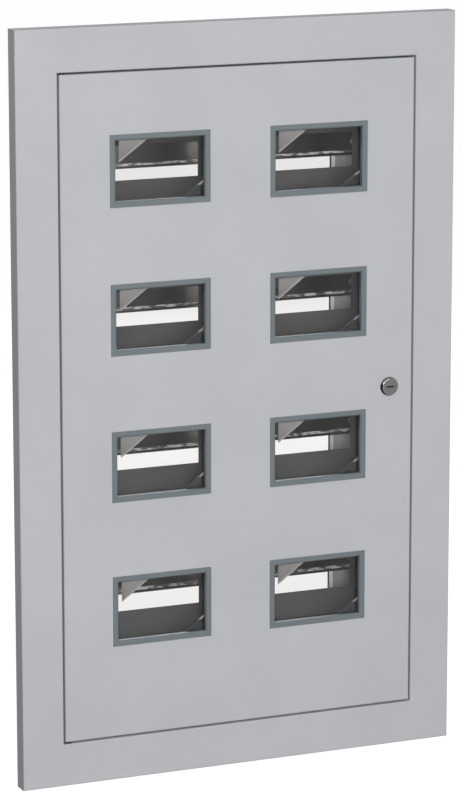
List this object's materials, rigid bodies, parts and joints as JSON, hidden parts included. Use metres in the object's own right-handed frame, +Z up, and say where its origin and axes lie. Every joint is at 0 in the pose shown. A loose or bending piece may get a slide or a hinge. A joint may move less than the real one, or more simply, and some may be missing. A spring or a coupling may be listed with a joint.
{
  "type": "floor distribution board",
  "caption": "Flush wall distribution board with a wide trim frame, a hinged door with meter windows and a key lock, an inner cover with modular slots, rails and an open back.",
  "frame": {"origin": "centre of the wall fixing holes, on the rear face of the back flanges", "axes": "+X to the right seen from the front, +Y into the wall, +Z up"},
  "size_m": [0.62, 0.1728, 1],
  "materials": {
    "grey_paint": "light grey powder coat, fine texture",
    "body_paint": "light grey powder coat, fine texture",
    "fascia_paint": "mid grey powder coat",
    "edge_trim": "pale extruded edge trim",
    "seal_rubber": "black cellular rubber",
    "nylon": "black nylon",
    "pivot_steel": "blackened steel",
    "zinc_steel": "bright zinc plated",
    "rail_steel": "zinc plated, satin",
    "brass": "machined brass",
    "insulator": "moulded blue",
    "lock_chrome": "chrome plated zinc",
    "lock_plug_metal": "satin nickel",
    "bezel_plastic": "blue-grey moulded",
    "pane": "clear sheet",
    "clip_steel": "zinc plated sheet"
  },
  "bodies": {
    "enclosure": {"front_frame": "grey_paint", "body_left_side": "body_paint", "body_right_side": "body_paint", "body_top": "body_paint", "body_bottom": "body_paint", "back_edge_trim": "edge_trim", "frame_screws": "zinc_steel", "frame_nuts": "zinc_steel", "door_seal": "seal_rubber", "din_rail_1": "rail_steel", "din_rail_2": "rail_steel", "din_rail_3": "rail_steel", "din_rail_4": "rail_steel", "rail_spacers": "zinc_steel", "rail_screws": "zinc_steel", "fascia_panel": "fascia_paint", "fascia_pillars": "zinc_steel", "fascia_screws": "zinc_steel", "n_bar": "brass", "pe_bar": "brass", "n_insulators": "insulator", "pe_supports": "zinc_steel", "bar_screws": "brass", "body_earth_stud": "zinc_steel", "hinge_pin_upper": "pivot_steel", "hinge_pin_lower": "pivot_steel", "hinge_washer": "nylon"},
    "door": {"door_panel": "grey_paint", "hinge_block_upper": "zinc_steel", "hinge_block_lower": "zinc_steel", "door_earth_stud": "zinc_steel", "lock_housing": "lock_chrome", "lock_nut": "zinc_steel", "window_bezel_1": "bezel_plastic", "window_pane_1": "pane", "pane_clips_1": "clip_steel", "window_bezel_2": "bezel_plastic", "window_pane_2": "pane", "pane_clips_2": "clip_steel", "window_bezel_3": "bezel_plastic", "window_pane_3": "pane", "pane_clips_3": "clip_steel", "window_bezel_4": "bezel_plastic", "window_pane_4": "pane", "pane_clips_4": "clip_steel", "window_bezel_5": "bezel_plastic", "window_pane_5": "pane", "pane_clips_5": "clip_steel", "window_bezel_6": "bezel_plastic", "window_pane_6": "pane", "pane_clips_6": "clip_steel", "window_bezel_7": "bezel_plastic", "window_pane_7": "pane", "pane_clips_7": "clip_steel", "window_bezel_8": "bezel_plastic", "window_pane_8": "pane", "pane_clips_8": "clip_steel"},
    "lock": {"lock_plug": "lock_plug_metal", "lock_cam": "zinc_steel", "cam_screw": "zinc_steel"}
  },
  "joints": [
    {"name": "door_swing", "type": "hinge", "parent": "enclosure", "child": "door", "pos_m": [-0.2455, -0.161, 0], "axis": [0, 0, -1], "range_deg": [0, 110]},
    {"name": "lock_turn", "type": "hinge", "parent": "door", "child": "lock", "pos_m": [0.2168, -0.166, 0], "axis": [0, -1, 0], "range_deg": [0, 90]}
  ]
}
